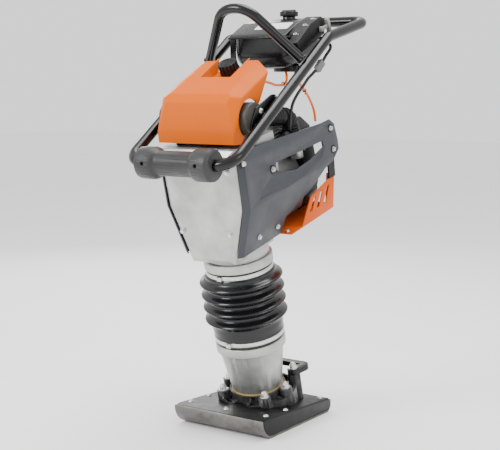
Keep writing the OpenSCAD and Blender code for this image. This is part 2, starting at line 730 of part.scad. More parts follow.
module fuel_cap() color(black_plastic) translate([0, cap_y, 1080.4]) {
  cylinder(r = 25, h = 12);
  translate([-20, -4, 12]) cube([40, 8, 5]);
}

housing_x = 84;
module throttle_housing() color(black_plastic) {
  side_prism(tank_x + 3, 129, [[2, 1000], [70, 1052], [118, 1073], [140, 1066], [138, 1030],
    [60, 992], [20, 975]]);
  side_prism(housing_x, tank_x + 4, [[32, 1023], [70, 1052], [118, 1073], [140, 1066], [138, 1023]]);
  cross_pin(7, 129, 131.6, 112, 1040);
}
module throttle_lever() color([0.6, 0.6, 0.58]) {
  cross_pin(7, 132, 140, 112, 1040);
  side_prism(134, 139, [[112, 1035], [112, 1045], [140, 1055], [142, 1047]]);
  side_prism(132, 142, [[140, 1070], [131, 1066], [146, 1032], [155, 1036]]);
}

// fuel lines and the throttle's cable, clipped along the handle and the engine
hose_a = [[40, 86, 936.6], [46, 84, 915], [50, 70, 899], [52, 30, 894], [60, -20, 900],
  [66, -62, 905]];
hose_b = [[62, 96, 936], [66, 110, 905], [60, 150, 882], [52, 190, 858], [46, 226, 822],
  [44, 236, 796]];
cable_a = [[120, 126, 1019.5], [139, 137, 1006], [154, 128, 994], [152, 108, 971], [146, 85, 943],
  [139, 64, 924], [137, 44, 911], [137, 23, 894], [136, -8, 869], [132, -23, 844],
  [124, -19, 812], [114, -7, 777]];
module fuel_hoses() color([1.0, 0.45, 0.08]) {
  sweep(spline(hose_a, 4), 3.5, 8, [1, 0, 0]);
  sweep(spline(hose_b, 4), 3.5, 8, [1, 0, 0]);
  color(black_plastic) sweep(spline(cable_a, 4), 4, 8, [1, 0, 0]);
}

sole_plate();
shoe_block();
shoe_screws();
foot_casting();
foot_nuts();
tie_loop();
leg_gasket();
spring_cylinder();
inner_sleeve();
lower_spring();
upper_spring();
lower_clamp();
bellows();
piston_rod();
crosshead();
crankcase();
front_cover();
cover_screws();
guide_tube();
neck_ring();
upper_clamp();
left_panel();
right_panel();
panel_screws();
filter_base();
filter_element();
filter_cover();
filter_stud();
filter_knob();
engine_block();
cylinder_fins();
valve_cover();
spark_plug();
fan_shroud();
recoil_cover();
carburettor();
choke_lever();
intake_elbow();
muffler();
engine_guard();
guard_bolts();
rubber_buffers();
crank_gear();
con_rod();
wrist_pin();
pinion_shaft();
clutch_drum();
crankshaft();
flywheel();
starter_grip();
handle_frame();
lifting_arch();
mount_plates();
mount_bolts();
roller();
fuel_tank();
fuel_cap();
throttle_housing();
throttle_lever();
fuel_hoses();
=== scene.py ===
import json
import math

import bpy
from mathutils import Matrix, Vector


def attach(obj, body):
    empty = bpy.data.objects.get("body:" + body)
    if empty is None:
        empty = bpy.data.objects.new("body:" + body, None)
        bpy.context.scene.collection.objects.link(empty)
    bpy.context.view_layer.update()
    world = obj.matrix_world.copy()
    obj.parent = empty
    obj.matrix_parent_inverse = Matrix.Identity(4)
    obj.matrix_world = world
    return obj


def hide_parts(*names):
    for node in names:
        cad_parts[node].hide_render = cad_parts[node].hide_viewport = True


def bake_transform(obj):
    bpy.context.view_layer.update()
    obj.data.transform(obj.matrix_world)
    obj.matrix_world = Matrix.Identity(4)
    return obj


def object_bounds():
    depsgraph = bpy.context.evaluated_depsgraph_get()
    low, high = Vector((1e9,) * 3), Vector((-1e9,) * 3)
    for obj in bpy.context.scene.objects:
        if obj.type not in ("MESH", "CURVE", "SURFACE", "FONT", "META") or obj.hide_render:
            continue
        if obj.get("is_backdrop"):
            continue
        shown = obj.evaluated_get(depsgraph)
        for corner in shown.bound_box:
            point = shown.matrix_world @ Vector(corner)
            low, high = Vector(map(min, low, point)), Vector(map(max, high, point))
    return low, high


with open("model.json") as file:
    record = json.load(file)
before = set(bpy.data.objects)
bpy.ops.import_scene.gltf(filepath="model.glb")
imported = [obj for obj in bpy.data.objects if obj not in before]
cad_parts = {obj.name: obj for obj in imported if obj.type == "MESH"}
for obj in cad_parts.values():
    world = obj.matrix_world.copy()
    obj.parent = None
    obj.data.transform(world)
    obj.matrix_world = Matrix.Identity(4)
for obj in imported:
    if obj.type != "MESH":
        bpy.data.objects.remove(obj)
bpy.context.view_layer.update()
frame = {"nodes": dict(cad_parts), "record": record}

nodes = frame["nodes"]
body_of_node = {n: b for b, held in frame["record"]["behaviour"]["bodies"].items() for n in held}

# ---- camera, lights and floor ----------------------------------------------------
# A long lens from the front left, a little above the machine's middle. Big soft
# lamps stand left, right and overhead, over a plain pale floor.
bpy.ops.object.select_all(action="DESELECT")
bpy.ops.object.camera_add(location=(1.6455, -2.4150, 0.8844),
                          rotation=(math.radians(83.0), 0, math.radians(34.5)))
camera = bpy.context.object
camera.data.sensor_width = 36
camera.data.lens = 79.8
bpy.context.scene.camera = camera


def soft_lamp(name, spot, aim, size, power):
    bpy.ops.object.light_add(type="AREA", location=spot)
    lamp = bpy.context.object
    lamp.name = name
    lamp.data.size = size
    lamp.data.energy = power
    lamp.rotation_euler = (Vector(aim) - Vector(spot)).to_track_quat("-Z", "Y").to_euler()


soft_lamp("lamp_front", (-1.5, -3.0, 2.4), (0, 0, 0.6), 1.4, 95)
soft_lamp("lamp_left", (3.0, -0.6, 2.0), (0, 0, 0.6), 1.2, 20)
soft_lamp("lamp_top", (0.2, 0.4, 3.2), (0, 0, 0.5), 1.8, 85)
soft_lamp("lamp_rear", (-2.2, 2.0, 1.6), (0, 0, 0.7), 1.4, 30)

studio = bpy.data.worlds.new("studio")
bpy.context.scene.world = studio
studio.use_nodes = True
studio.node_tree.nodes["Background"].inputs["Color"].default_value = (1, 1, 1, 1)
studio.node_tree.nodes["Background"].inputs["Strength"].default_value = 1.35

bpy.ops.mesh.primitive_plane_add(size=30, location=(0, 0, -0.0004))
floor = bpy.context.object
floor.name = "floor"


def noise(tree, scale, detail, where, rough=0.5):
    tex = tree.nodes.new("ShaderNodeTexNoise")
    tex.inputs["Scale"].default_value = scale
    tex.inputs["Detail"].default_value = detail
    tex.inputs["Roughness"].default_value = rough
    tree.links.new(where, tex.inputs["Vector"])
    return tex.outputs["Fac"]


def between(tree, fac, low, high):
    """A value that runs from low to high as a pattern runs over its middle part."""
    node = tree.nodes.new("ShaderNodeMapRange")
    node.inputs["From Min"].default_value = 0.3
    node.inputs["From Max"].default_value = 0.7
    node.inputs["To Min"].default_value = low
    node.inputs["To Max"].default_value = high
    tree.links.new(fac, node.inputs["Value"])
    return node.outputs["Result"]


def blend_colours(tree, fac, a, b):
    node = tree.nodes.new("ShaderNodeMix")
    node.data_type = "RGBA"
    tree.links.new(fac, node.inputs["Factor"])
    for socket, value in (("A", a), ("B", b)):
        slot = [s for s in node.inputs if s.name == socket and s.type == "RGBA"][0]
        if isinstance(value, tuple):
            slot.default_value = (*value, 1)
        else:
            tree.links.new(value, slot)
    return [s for s in node.outputs if s.type == "RGBA"][0]


def surface(name, light, dark, rough, metal=0.0, patch=30, grain=900, bump=0.15, depth=0.0004,
            worn=None, gleam=0.5):
    """A finish whose colour drifts between two tones in patches, with a fine grain that
    lifts the surface and varies its gloss, and edges worn to another colour if one is given."""
    mat = bpy.data.materials.new(name)
    mat.use_nodes = True
    tree = mat.node_tree
    shader = tree.nodes["Principled BSDF"]
    where = tree.nodes.new("ShaderNodeTexCoord").outputs["Object"]
    colour = blend_colours(tree, between(tree, noise(tree, patch, 4, where), 0, 1), dark, light)
    gloss = between(tree, noise(tree, patch * 2.3, 5, where, 0.6), rough[0], rough[1])
    if worn:
        edge = tree.nodes.new("ShaderNodeNewGeometry").outputs["Pointiness"]
        mask = tree.nodes.new("ShaderNodeMapRange")
        mask.inputs["From Min"].default_value = 0.53
        mask.inputs["From Max"].default_value = 0.60
        tree.links.new(edge, mask.inputs["Value"])
        broken = tree.nodes.new("ShaderNodeMath")
        broken.operation = "MULTIPLY"
        tree.links.new(mask.outputs["Result"], broken.inputs[0])
        tree.links.new(between(tree, noise(tree, 60, 6, where, 0.7), 0, 1), broken.inputs[1])
        colour = blend_colours(tree, broken.outputs[0], colour, worn)
    tree.links.new(colour, shader.inputs["Base Color"])
    tree.links.new(gloss, shader.inputs["Roughness"])
    shader.inputs["Metallic"].default_value = metal
    shader.inputs["Specular IOR Level"].default_value = gleam
    lift = tree.nodes.new("ShaderNodeBump")
    lift.inputs["Strength"].default_value = bump
    lift.inputs["Distance"].default_value = depth
    tree.links.new(noise(tree, grain, 3, where), lift.inputs["Height"])
    tree.links.new(lift.outputs["Normal"], shader.inputs["Normal"])
    return mat


floor.data.materials.append(surface("pale_floor", (0.95, 0.95, 0.95), (0.93, 0.93, 0.93), (0.6, 0.7),
                                    patch=2, grain=60, bump=0.02))
floor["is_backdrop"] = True

# ---- shoe ------------------------------------------------------------------------
# The steel sole is a thick plate rolled up at toe and heel, bolted under a black
# block. Ground contact has left its edge scratched and dull.
worn_sole_steel = surface("worn_sole_steel", (0.150, 0.143, 0.135), (0.060, 0.057, 0.054), (0.36, 0.55),
                          metal=0.7, patch=22, grain=420, bump=0.35, worn=(0.34, 0.32, 0.30))
zinc = surface("zinc", (0.66, 0.66, 0.64), (0.50, 0.50, 0.49), (0.22, 0.38), metal=0.95, patch=120,
               grain=1500, bump=0.08)
shoe_black = surface("shoe_black", (0.004, 0.004, 0.0045), (0.002, 0.002, 0.0025), (0.30, 0.44),
                     patch=14, grain=700, bump=0.12, gleam=0.2)


def eased(node, material, edge=0.0, steps=2, sharp=32, name=None, rides=True):
    """A copy of a solid with its triangles merged into clean faces and its sharp edges
    rounded, which stands for the solid."""
    bpy.ops.object.select_all(action="DESELECT")
    piece = bpy.data.objects.new(name or node + "_finished", nodes[node].data.copy())
    bpy.context.collection.objects.link(piece)
    bpy.context.view_layer.objects.active = piece
    piece.select_set(True)
    bpy.ops.object.mode_set(mode="EDIT")
    bpy.ops.mesh.select_all(action="SELECT")
    bpy.ops.mesh.remove_doubles(threshold=0.00002)
    bpy.ops.mesh.dissolve_limited(angle_limit=math.radians(0.6))
    bpy.ops.mesh.select_all(action="DESELECT")
    bpy.ops.object.mode_set(mode="OBJECT")
    if edge:
        rounding = piece.modifiers.new("rounding", "BEVEL")
        rounding.width = edge
        rounding.segments = steps
        rounding.limit_method = "ANGLE"
        rounding.angle_limit = math.radians(sharp)
        rounding.use_clamp_overlap = True
        bpy.ops.object.modifier_apply(modifier="rounding")
    bpy.ops.object.shade_smooth_by_angle(angle=math.radians(34))
    piece.data.materials.clear()
    piece.data.materials.append(material)
    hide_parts(node)
    if rides:
        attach(piece, body_of_node[node])
    return piece


eased("sole_plate", worn_sole_steel, 0.0012)
eased("shoe_block", shoe_black, 0.004, 3)
eased("shoe_screws", zinc)

# ---- foot ------------------------------------------------------------------------
# A ribbed casting bolted to the shoe by six domed nuts. Painted black, with a rear
# loop for lashing the machine down.
foot_black = surface("foot_black", (0.009, 0.009, 0.010), (0.004, 0.004, 0.005), (0.28, 0.46),
                     patch=18, grain=320, bump=0.45, worn=(0.06, 0.06, 0.06), gleam=0.35)
eased("foot_casting", foot_black, 0.0025, 3)
eased("foot_nuts", zinc, 0.0006, 2)
eased("tie_loop", foot_black, 0.003, 3)
gasket_fibre = surface("gasket_fibre", (0.62, 0.44, 0.14), (0.44, 0.29, 0.08), (0.45, 0.6), patch=90,
                       grain=1200, bump=0.2)
eased("leg_gasket", gasket_fibre)

# ---- leg -------------------------------------------------------------------------
# The spring cylinder is an aluminium casting with a rib down its front, left as it
# came from the mould and only machined at its flanges.
cast_alloy = surface("cast_alloy", (0.52, 0.52, 0.51), (0.35, 0.35, 0.345), (0.34, 0.52), metal=0.75,
                     patch=16, grain=210, bump=0.5, depth=0.0006)
eased("spring_cylinder", cast_alloy, 0.0015, 2, sharp=20)
ground_steel = surface("ground_steel", (0.52, 0.52, 0.52), (0.42, 0.42, 0.42), (0.15, 0.25), metal=1.0,
                       patch=60, grain=1400, bump=0.05)
eased("inner_sleeve", ground_steel, 0.0005)
eased("lower_clamp", zinc, 0.0006)
eased("upper_clamp", zinc, 0.0006)

LEG = Matrix.Translation((0, 0.0384, 0)) @ Matrix.Rotation(math.radians(14.3), 4, "X")


def place(piece, frame_matrix):
    """Sets a piece down from the frame it was shaped in, leaving its object at the origin."""
    bpy.ops.object.select_all(action="DESELECT")
    piece.select_set(True)
    bpy.context.view_layer.objects.active = piece
    piece.matrix_world = frame_matrix @ piece.matrix_world
    bpy.ops.object.transform_apply(location=True, rotation=True, scale=True)


def wear(piece, material, body, replaced=()):
    """Gives a made piece its finish, its body and the solids it stands for."""
    piece.data.materials.clear()
    piece.data.materials.append(material)
    if replaced:
        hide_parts(*replaced)
    if body:
        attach(piece, body)


def turned(name, outline, steps=96, axis=(0, 0, 1)):
    """A closed outline of (radius, height) points turned once round the upright axis."""
    bpy.ops.object.select_all(action="DESELECT")
    mesh = bpy.data.meshes.new(name)
    mesh.from_pydata([(r, 0, h) for r, h in outline],
                     [(k, (k + 1) % len(outline)) for k in range(len(outline))], [])
    piece = bpy.data.objects.new(name, mesh)
    bpy.context.collection.objects.link(piece)
    bpy.context.view_layer.objects.active = piece
    piece.select_set(True)
    bpy.ops.object.mode_set(mode="EDIT")
    bpy.ops.mesh.select_all(action="SELECT")
    bpy.ops.mesh.spin(steps=steps, angle=math.tau, center=(0, 0, 0), axis=axis)
    bpy.ops.mesh.select_all(action="SELECT")
    bpy.ops.mesh.remove_doubles(threshold=0.00001)
    bpy.ops.mesh.normals_make_consistent(inside=False)
    bpy.ops.object.mode_set(mode="OBJECT")
    bpy.ops.object.shade_smooth_by_angle(angle=math.radians(40))
    return piece


# ---- bellows ---------------------------------------------------------------------
# A moulded rubber boot with four fat rings between two clamped necks. On the machine
# it stretches and folds as the machine rises and falls; here it is built at one length
# and left on no body.
bellows_rubber = surface("bellows_rubber", (0.005, 0.005, 0.006), (0.002, 0.002, 0.003), (0.16, 0.28),
                         patch=12, grain=600, bump=0.06, gleam=0.45)
rings = []
for k in range(4 * 16 + 1):
    a = math.tau * k / 16 - math.pi
    rings.append((0.1015 + 0.0088 * math.cos(a) + 0.0012 * math.cos(2 * a) - 0.0012,
                  0.289 + 0.034 * k / 16))
skin = [(0.0925, 0.241), (0.0935, 0.2415), (0.0935, 0.262), (0.0925, 0.266), (0.0945, 0.274),
        (0.0932, 0.284)] + rings[1:-1] + [(0.0930, 0.427), (0.0885, 0.431), (0.0868, 0.434),
        (0.0868, 0.4455), (0.086, 0.446)]
inner = [(max(r - 0.0036, 0.0832), h) for r, h in reversed(skin)]
bellows = turned("bellows_boot", skin + inner)
place(bellows, LEG)
wear(bellows, bellows_rubber, None, ("bellows",))

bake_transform(bellows)

# ---- springs and piston ----------------------------------------------------------
# Inside the leg a piston rides between two stacks of coil springs, which shorten and
# stretch on the machine; here they are built at one length and left on no body.
spring_blue = surface("spring_blue", (0.05, 0.07, 0.13), (0.03, 0.045, 0.09), (0.3, 0.4), patch=60,
                      grain=900, bump=0.1)
lower_coil = eased("lower_spring", spring_blue, name="lower_coil", rides=False)
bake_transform(lower_coil)
upper_coil = eased("upper_spring", spring_blue, name="upper_coil", rides=False)
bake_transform(upper_coil)
eased("piston_rod", ground_steel, 0.0005)
gear_steel = surface("gear_steel", (0.42, 0.42, 0.43), (0.30, 0.30, 0.31), (0.22, 0.36), metal=1.0,
                     patch=70, grain=900, bump=0.12)
for inside in ("crosshead", "crank_gear", "con_rod", "wrist_pin", "pinion_shaft", "clutch_drum",
               "crankshaft"):
    eased(inside, gear_steel)

# ---- crankcase -------------------------------------------------------------------
# A cast housing for the crank gear, closed at the front by a shallow domed cover on
# four screws. A ring clamps the bellows' top neck to the steel guide tube.
eased("crankcase", cast_alloy, 0.0025, 3)
eased("front_cover", cast_alloy, 0.004, 4, sharp=16)
eased("cover_screws", zinc, 0.0005)
eased("neck_ring", cast_alloy, 0.0012)
eased("guide_tube", ground_steel, 0.0004)
eased("flywheel", cast_alloy)

# ---- side panels -----------------------------------------------------------------
# Moulded grey plastic guards over the engine bay, each with a long cooling slot,
# held by screws in recesses. A black ring in each recess is painted shade for the
# recess's darkness. The lower part folds in towards the leg.
panel_grey = surface("panel_grey", (0.040, 0.043, 0.051), (0.031, 0.034, 0.041), (0.42, 0.56), patch=9,
                     grain=1300, bump=0.22, depth=0.00025, gleam=0.35)


def carve(piece, cutter):
    """Takes the cutter's shape out of a piece and does away with the cutter."""
    bpy.ops.object.select_all(action="DESELECT")
    bpy.context.view_layer.objects.active = piece
    piece.select_set(True)
    cutting = piece.modifiers.new("cutting", "BOOLEAN")
    cutting.operation = "DIFFERENCE"
    cutting.solver = "EXACT"
    cutting.object = cutter
    bpy.ops.object.modifier_apply(modifier="cutting")
    bpy.data.objects.remove(cutter, do_unlink=True)


def outline_prism(name, outline, axis, low, high):
    """A flat outline drawn out along x or y, made from a filled edge loop."""
    bpy.ops.object.select_all(action="DESELECT")
    mesh = bpy.data.meshes.new(name)
    spots = [(low, p, q) if axis == "x" else (p, low, q) for p, q in outline]
    mesh.from_pydata(spots, [], [list(range(len(outline)))])
    piece = bpy.data.objects.new(name, mesh)
    bpy.context.collection.objects.link(piece)
    bpy.context.view_layer.objects.active = piece
    piece.select_set(True)
    bpy.ops.object.mode_set(mode="EDIT")
    bpy.ops.mesh.select_all(action="SELECT")
    shift = (high - low, 0, 0) if axis == "x" else (0, high - low, 0)
    bpy.ops.mesh.extrude_region_move(TRANSFORM_OT_translate={"value": shift})
    bpy.ops.mesh.select_all(action="SELECT")
    bpy.ops.mesh.normals_make_consistent(inside=False)
    bpy.ops.object.mode_set(mode="OBJECT")
    return piece


def joined(pieces, name):
    """Joins pieces into the first of them and names it."""
    bpy.ops.object.select_all(action="DESELECT")
    for piece in pieces:
        piece.select_set(True)
    bpy.context.view_layer.objects.active = pieces[0]
    bpy.ops.object.join()
    pieces[0].name = name
    return pieces[0]


# Black rubber for the line ties. The same material colours the black rings in the panel recesses, which
# are painted shade.
tie_rubber_and_recess_shade = surface("tie_rubber_and_recess_shade", (0.006, 0.006, 0.006), (0.003, 0.003, 0.003), (0.4, 0.55),
                         patch=60, grain=900, bump=0.1, gleam=0.3)
recess_shade_rings = []
for side, name in ((1, "left_panel"), (-1, "right_panel")):
    panel = eased(name, panel_grey, 0.0018, 3)
    sweep_line = [(-48, 646), (14, 642), (86, 636.5), (163, 638.5), (225, 648), (264, 661), (281, 683),
                  (272, 703), (46, 713), (19, 688), (-30.5, 662)]
    hollow = outline_prism("sweep_cutter", [(v / 1000, u / 1000) for v, u in sweep_line], "x",
                           side * 0.1288, side * 0.1360)
    place(hollow, LEG)
    carve(panel, hollow)
    for v, u in ((-95, 753), (25, 701), (320, 723), (323, 664)):
        spot = LEG @ Matrix.Translation((side * 0.130, v / 1000, u / 1000)) @ Matrix.Rotation(
            math.radians(90), 4, "Y")
        bpy.ops.object.select_all(action="DESELECT")
        bpy.ops.mesh.primitive_cylinder_add(vertices=48, radius=0.0118, depth=0.0030)
        recess = bpy.context.object
        place(recess, spot)
        carve(panel, recess)
        bpy.ops.object.select_all(action="DESELECT")
        # A black ring in the recess, painted shade for the recess's darkness rather than a real grommet.
        bpy.ops.mesh.primitive_torus_add(major_radius=0.0088, minor_radius=0.0018, major_segments=48,
                                         minor_segments=10)
        recess_shade_rings.append(bpy.context.object)
        place(recess_shade_rings[-1], spot @ Matrix.Translation((0, 0, -side * 0.0008)))
    bpy.ops.object.select_all(action="DESELECT")
    panel.select_set(True)
    bpy.context.view_layer.objects.active = panel
    bpy.ops.object.shade_smooth_by_angle(angle=math.radians(34))
panel_recess_shade_rings = joined(recess_shade_rings, "panel_recess_shade_rings")
bpy.ops.object.shade_smooth()
wear(panel_recess_shade_rings, tie_rubber_and_recess_shade, "machine")
eased("panel_screws", zinc, 0.0005)

# ---- air filter ------------------------------------------------------------------
# The filter's black base sits on the crankcase. Its orange cover is one moulded
# shell with a recess in its sloping top, where a ribbed knob holds it down.
black_plastic = surface("black_plastic", (0.008, 0.008, 0.009), (0.004, 0.004, 0.005), (0.34, 0.5),
                        patch=14, grain=1200, bump=0.2, gleam=0.25)
eased("filter_base", black_plastic, 0.0015)
filter_paper = surface("filter_paper", (0.70, 0.63, 0.42), (0.55, 0.48, 0.30), (0.7, 0.85), patch=40,
                       grain=300, bump=0.4)
eased("filter_element", filter_paper)
eased("filter_stud", zinc, 0.0003)
cover_orange = surface("cover_orange", (0.66, 0.118, 0.0), (0.60, 0.102, 0.0), (0.42, 0.52), patch=5,
                       grain=1500, bump=0.10, depth=0.0002, gleam=0.1)
SLOPE = Matrix.Translation((0, -0.255, 0.866)) @ Matrix.Rotation(math.radians(30.4), 4, "X")


def cut_away(place_on, outward, fill=True):
    """Trims off all of the edited mesh that lies outward of a plane."""
    bpy.ops.mesh.select_all(action="SELECT")
    bpy.ops.mesh.bisect(plane_co=place_on, plane_no=outward, use_fill=fill, clear_outer=True)


slope_turn = SLOPE.to_3x3()
skin_planes = [((0, -0.256, 0.750), (0, -0.989, -0.150)), ((0, -0.261, 0.783), (0, -0.9974, 0.072)),
               ((0, -0.2495, 0.8626), (0, -0.849, 0.528)), ((0, -0.255, 0.866), (0, -0.506, 0.8625))]
for side in (1, -1):
    skin_planes.append(((side * 0.089, -0.255, 0.866), (side * 0.597, -0.771, 0.221)))
    for spot, outward in (((0.0894, 0, 0), (0.4195, 0.0200, 0.9075)),
                          ((0.121, 0, -0.015), (0.998, 0, -0.057)),
                          ((0.115, 0, -0.120), (0.995, 0, -0.0995))):
        skin_planes.append((SLOPE @ Vector((side * spot[0], spot[1], spot[2])),
                            slope_turn @ Vector((side * outward[0], outward[1], outward[2]))))
open_planes = [((0, -0.093, 0.961), (0, 0.925, -0.379)), ((0, -0.118, 0.900), (0, 0.811, -0.585)),
               ((0, -0.149, 0.857), (0, 0.905, -0.426)), ((0, -0.20, 0.751), (0, 0, -1))]


def cover_form(name, planes, inset):
    """The cover's outer form, or the hollow inside it when the planes are moved in."""
    bpy.ops.object.select_all(action="DESELECT")
    bpy.ops.mesh.primitive_cube_add(size=0.32, location=(0, -0.18, 0.86))
    form = bpy.context.object
    form.name = name
    bpy.ops.object.transform_apply(location=True, rotation=True, scale=True)
    bpy.ops.object.mode_set(mode="EDIT")
    for spot, outward in planes:
        cut_away(Vector(spot) - inset * Vector(outward), outward)
    bpy.ops.mesh.select_all(action="SELECT")
    bpy.ops.mesh.remove_doubles(threshold=0.0004)
    bpy.ops.mesh.dissolve_limited(angle_limit=math.radians(1))
    bpy.ops.mesh.normals_make_consistent(inside=False)
    bpy.ops.mesh.select_all(action="DESELECT")
    bpy.ops.mesh.select_mode(type="EDGE")
    bpy.ops.mesh.edges_select_sharp(sharpness=math.radians(8))
    bpy.ops.object.mode_set(mode="OBJECT")
    sharp = {edge.index for edge in form.data.edges if edge.select}
    bpy.ops.object.mode_set(mode="EDIT")
    bpy.ops.mesh.select_all(action="DESELECT")
    bpy.ops.object.mode_set(mode="OBJECT")
    for edge in form.data.edges:
        ends = [form.data.vertices[v].co for v in edge.vertices]
        edge.select = edge.index in sharp and not any(
            all(abs((end - Vector(spot)).dot(Vector(outward))) < 0.0012 for end in ends)
            for spot, outward in open_planes)
    bpy.ops.object.mode_set(mode="EDIT")
    bpy.ops.mesh.bevel(offset=0.0105 - inset, segments=5, affect="EDGES", clamp_overlap=True)
    bpy.ops.mesh.select_mode(type="FACE")
    bpy.ops.object.mode_set(mode="OBJECT")
    return form


cover = cover_form("filter_cover_shell", skin_planes + open_planes, 0.0)
carve(cover, cover_form("cover_hollow", skin_planes, 0.004))
arc = turned("arc_cutter", [(0, -0.15), (0.048, -0.15), (0.048, 0.15), (0, 0.15)], steps=64)
place(arc, Matrix.Translation((0, -0.19355, 0.81285)) @ Matrix.Rotation(math.radians(90), 4, "Y"))
carve(cover, arc)
behind = [(-44, 690), (-44, 801), (-24, 805), (140, 835), (140, 690)]
carve(cover, outline_prism("rear_cutter", [(0.0384 + 0.00096902 * v - 0.000247 * u,
                                            0.000247 * v + 0.00096902 * u) for v, u in behind],
                           "x", -0.14, 0.14))
well = [(-0.038, -0.022), (0.038, -0.022), (0.046, 0.0), (0.046, 0.05), (-0.046, 0.05), (-0.046, 0.0)]
opening = outline_prism("recess_cutter", well, "y", 0.094, 0.30)
place(opening, SLOPE)
carve(cover, opening)
tray_line = [(-0.0462, 0.0), (-0.038, -0.0222), (0.038, -0.0222), (0.0462, 0.0), (0.0495, 0.0),
             (0.041, -0.0255), (-0.041, -0.0255), (-0.0495, 0.0)]
tray = outline_prism("cover_tray", tray_line, "y", 0.0938, 0.190)
place(tray, SLOPE)
front_wall = outline_prism("cover_tray_end", [(-0.0495, 0.0), (-0.041, -0.0255), (0.041, -0.0255),
                                              (0.0495, 0.0)], "y", 0.0905, 0.0940)
place(front_wall, SLOPE)
for extra in (tray, front_wall):
    joined((cover, extra), "filter_cover_shell")
trimmer = outline_prism("tray_trimmer", [(-0.0925, 0.9615), (-0.118, 0.899), (-0.06, 0.899), (-0.06, 0.99),
                                         (-0.0925, 0.99)], "x", -0.15, 0.15)
carve(cover, trimmer)
bpy.ops.object.select_all(action="DESELECT")
cover.select_set(True)
bpy.context.view_layer.objects.active = cover
bpy.ops.object.shade_smooth_by_angle(angle=math.radians(28))
wear(cover, cover_orange, "machine", ("filter_cover",))

# ---- cover knob ------------------------------------------------------------------
# A moulded black knob with deep grip flutes round its side and a shallow dish on
# top, screwed down on the cover's stud.
knob_black = surface("knob_black", (0.013, 0.013, 0.014), (0.008, 0.008, 0.009), (0.32, 0.46), patch=40,
                     grain=1200, bump=0.15, gleam=0.3)
bpy.ops.object.select_all(action="DESELECT")
bpy.ops.mesh.primitive_cylinder_add(vertices=64, radius=0.0248, depth=0.028, location=(0, 0, 0.014))
knob = bpy.context.object
knob.name = "cover_knob"
bpy.ops.object.transform_apply(location=True, rotation=True, scale=True)
bpy.ops.object.mode_set(mode="EDIT")
bpy.ops.mesh.select_mode(type="FACE")
bpy.ops.mesh.select_all(action="DESELECT")
bpy.ops.object.mode_set(mode="OBJECT")
for face in knob.data.polygons:
    turn = math.degrees(math.atan2(face.center.y, face.center.x)) % 22.5
    face.select = abs(face.normal.z) < 0.5 and turn < 11.25
bpy.ops.object.mode_set(mode="EDIT")
bpy.ops.mesh.extrude_region_shrink_fatten(TRANSFORM_OT_shrink_fatten={"value": -0.0022})
bpy.ops.mesh.select_all(action="DESELECT")
bpy.ops.object.mode_set(mode="OBJECT")
for face in knob.data.polygons:
    face.select = face.normal.z > 0.9
bpy.ops.object.mode_set(mode="EDIT")
bpy.ops.mesh.inset(thickness=0.004, depth=0)
bpy.ops.mesh.inset(thickness=0.0015, depth=-0.0015)
bpy.ops.object.mode_set(mode="OBJECT")
rounding = knob.modifiers.new("rounding", "BEVEL")
rounding.width = 0.0009
rounding.segments = 2
rounding.limit_method = "ANGLE"
rounding.angle_limit = math.radians(30)
bpy.ops.object.modifier_apply(modifier="rounding")
bpy.ops.object.shade_smooth_by_angle(angle=math.radians(40))
place(knob, SLOPE @ Matrix.Translation((0, 0.156, -0.0216)))
wear(knob, knob_black, "knob", ("filter_knob",))

# ---- engine ----------------------------------------------------------------------
# An air-cooled single with a finned cast cylinder, a black fan shroud and recoil
# starter at the rear, a carburettor on the left and a muffler on the right.
engine_alloy = surface("engine_alloy", (0.32, 0.32, 0.32), (0.20, 0.20, 0.20), (0.4, 0.55), metal=0.7,
                       patch=20, grain=240, bump=0.5)
eased("engine_block", engine_alloy, 0.003, 3)
eased("cylinder_fins", cast_alloy, 0.0008)
eased("valve_cover", cast_alloy, 0.003, 3)
plug_cap = surface("plug_cap", (0.014, 0.014, 0.014), (0.010, 0.010, 0.010), (0.4, 0.5), patch=60,
                   grain=900, bump=0.1)
eased("spark_plug", plug_cap, 0.0012)
eased("fan_shroud", black_plastic, 0.004, 3)
eased("recoil_cover", black_plastic, 0.0018, 3)
eased("starter_grip", black_plastic, 0.003, 3)
carb_alloy = surface("carb_alloy", (0.46, 0.46, 0.45), (0.34, 0.34, 0.33), (0.32, 0.45), metal=0.8,
                     patch=40, grain=420, bump=0.35)
eased("carburettor", carb_alloy, 0.0014, 2)
eased("choke_lever", black_plastic, 0.0008)
muffler_steel = surface("muffler_steel", (0.11, 0.10, 0.095), (0.07, 0.06, 0.055), (0.4, 0.6), metal=0.8,
                        patch=14, grain=320, bump=0.25)
eased("muffler", muffler_steel, 0.003, 3)

# ---- intake elbow ----------------------------------------------------------------
# A ribbed rubber hose that carries clean air from the filter back and down to the
# carburettor, with a moulded ring every few millimetres.
hose_rubber = surface("hose_rubber", (0.010, 0.010, 0.010), (0.005, 0.005, 0.005), (0.38, 0.52), patch=30,
                      grain=700, bump=0.18, gleam=0.35)
eased("intake_elbow", hose_rubber, name="intake_elbow_hose")
ribs = []
rib_at = [((60, 68 + 8 * k, 812), (0, 1, 0)) for k in range(4)]
rib_at += [((60 + 1.9 * k, 104 + 8.7 * k, 811 - 1.9 * k), (0.21, 0.955, -0.2)) for k in range(8)]
for t in (12, 27, 42, 57, 72):
    a = math.radians(t)
    rib_at.append(((77 + 5 * math.sin(a), 171 + 31 * math.sin(a), 765 + 31 * math.cos(a)),
                   (0.1 * math.cos(a), math.cos(a), -math.sin(a))))
rib_at += [((82, 202, 760 - 7 * k), (0, 0, -1)) for k in range(3)]
for spot, along in rib_at:
    bpy.ops.object.select_all(action="DESELECT")
    bpy.ops.mesh.primitive_torus_add(major_radius=0.0218, minor_radius=0.0022, major_segments=40,
                                     minor_segments=8)
    rib = bpy.context.object
    place(rib, LEG @ Matrix.Translation([c / 1000 for c in spot])
          @ Vector(along).to_track_quat("Z", "Y").to_matrix().to_4x4())
    ribs.append(rib)
elbow_ribs = joined(ribs, "intake_elbow_ribs")
bpy.ops.object.shade_smooth()
wear(elbow_ribs, hose_rubber, "machine")

